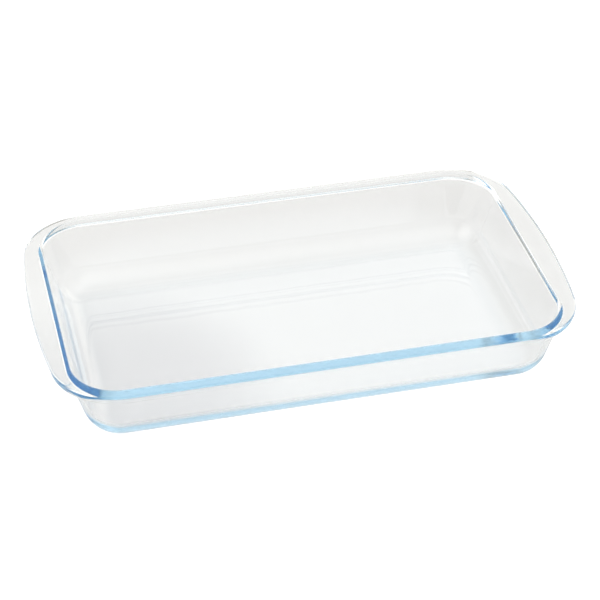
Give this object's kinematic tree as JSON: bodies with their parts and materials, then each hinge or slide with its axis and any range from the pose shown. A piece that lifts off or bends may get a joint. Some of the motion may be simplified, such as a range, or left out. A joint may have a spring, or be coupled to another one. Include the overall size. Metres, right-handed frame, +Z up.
{
  "type": "baking dish",
  "caption": "Rectangular clear glass baking dish with flared walls, rounded corners, a crowned rim and a flat bowed handle at each short end.",
  "frame": {"origin": "centre of the flat base, on the surface that the dish stands on", "axes": "+X along the dish from handle to handle, +Y across it, +Z up"},
  "size_m": [0.35, 0.207, 0.05],
  "materials": {
    "clear_glass": "clear pressed heat-resistant glass, fire-polished, with a faint blue tint where it is seen edge on"
  },
  "bodies": {
    "root": {"dish": "clear_glass"}
  },
  "joints": []
}
